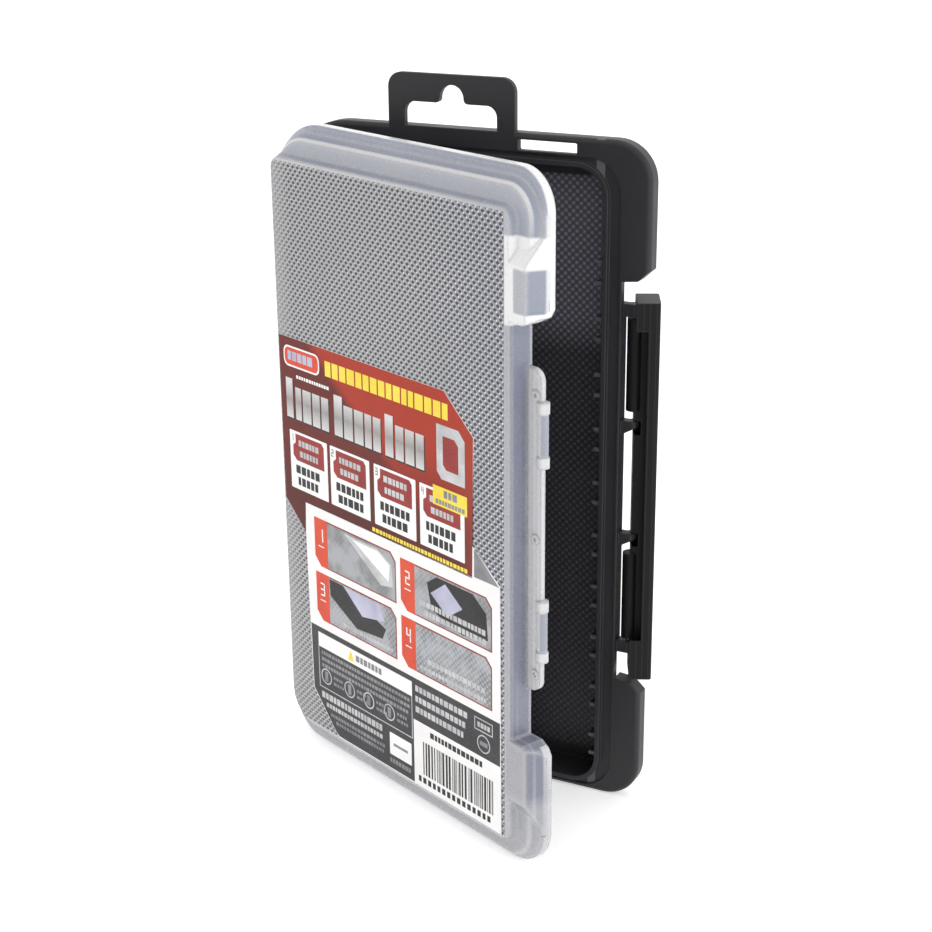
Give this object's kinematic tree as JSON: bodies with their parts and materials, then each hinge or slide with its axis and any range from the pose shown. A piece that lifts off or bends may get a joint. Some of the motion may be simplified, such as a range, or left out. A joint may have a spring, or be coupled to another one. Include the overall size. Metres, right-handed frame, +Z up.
{
  "type": "hinged tackle case",
  "caption": "Slim hinged tackle case with a black tray, clear lid, swinging side latch, hang tab and lift-out divider plates.",
  "frame": {"origin": "centre of the tray's standing edge, at the bottom of the case", "axes": "+Z up along the hinge towards the hang tab, +X from the hinge side to the latch side, -Y towards the lid"},
  "size_m": [0.1072, 0.0568, 0.188],
  "materials": {
    "black_pp": "satin moulded polypropylene",
    "clear_pp": "translucent moulded polypropylene, fine lattice on the roof",
    "latch_black": "satin moulded polypropylene",
    "pin_steel": "drawn wire",
    "divider_pp": "translucent moulded polypropylene",
    "sticker": "printed film with plain panels"
  },
  "bodies": {
    "base": {"base_tray": "black_pp", "hinge_pin_lower": "pin_steel", "hinge_pin_upper": "pin_steel", "latch_pin_lower": "pin_steel", "latch_pin_upper": "pin_steel"},
    "lid": {"clear_lid": "clear_pp", "lid_label": "sticker"},
    "latch": {"side_latch": "latch_black"},
    "divider_01_body": {"divider_01": "divider_pp"},
    "divider_02_body": {"divider_02": "divider_pp"},
    "divider_03_body": {"divider_03": "divider_pp"},
    "divider_04_body": {"divider_04": "divider_pp"},
    "divider_05_body": {"divider_05": "divider_pp"},
    "divider_06_body": {"divider_06": "divider_pp"},
    "divider_07_body": {"divider_07": "divider_pp"},
    "divider_08_body": {"divider_08": "divider_pp"},
    "divider_09_body": {"divider_09": "divider_pp"},
    "divider_10_body": {"divider_10": "divider_pp"}
  },
  "joints": [
    {"name": "lid_hinge", "type": "hinge", "parent": "base", "child": "lid", "pos_m": [-0.051, -0.0025, 0.0875], "axis": [0, 0, -1], "range_deg": [-22.9, 157.1]},
    {"name": "latch_pivot", "type": "hinge", "parent": "base", "child": "latch", "pos_m": [0.0465, 0.0001, 0.0875], "axis": [0, 0, 1], "range_deg": [-24.8, 25]},
    {"name": "divider_01_lift", "type": "slide", "parent": "base", "child": "divider_01_body", "axis": [0, -1, 0], "range_m": [0, 0.0055]},
    {"name": "divider_02_lift", "type": "slide", "parent": "base", "child": "divider_02_body", "axis": [0, -1, 0], "range_m": [0, 0.0055]},
    {"name": "divider_03_lift", "type": "slide", "parent": "base", "child": "divider_03_body", "axis": [0, -1, 0], "range_m": [0, 0.0055]},
    {"name": "divider_04_lift", "type": "slide", "parent": "base", "child": "divider_04_body", "axis": [0, -1, 0], "range_m": [0, 0.0055]},
    {"name": "divider_05_lift", "type": "slide", "parent": "base", "child": "divider_05_body", "axis": [0, -1, 0], "range_m": [0, 0.0055]},
    {"name": "divider_06_lift", "type": "slide", "parent": "base", "child": "divider_06_body", "axis": [0, -1, 0], "range_m": [0, 0.0055]},
    {"name": "divider_07_lift", "type": "slide", "parent": "base", "child": "divider_07_body", "axis": [0, -1, 0], "range_m": [0, 0.0055]},
    {"name": "divider_08_lift", "type": "slide", "parent": "base", "child": "divider_08_body", "axis": [0, -1, 0], "range_m": [0, 0.0055]},
    {"name": "divider_09_lift", "type": "slide", "parent": "base", "child": "divider_09_body", "axis": [0, -1, 0], "range_m": [0, 0.0055]},
    {"name": "divider_10_lift", "type": "slide", "parent": "base", "child": "divider_10_body", "axis": [0, -1, 0], "range_m": [0, 0.0055]}
  ]
}
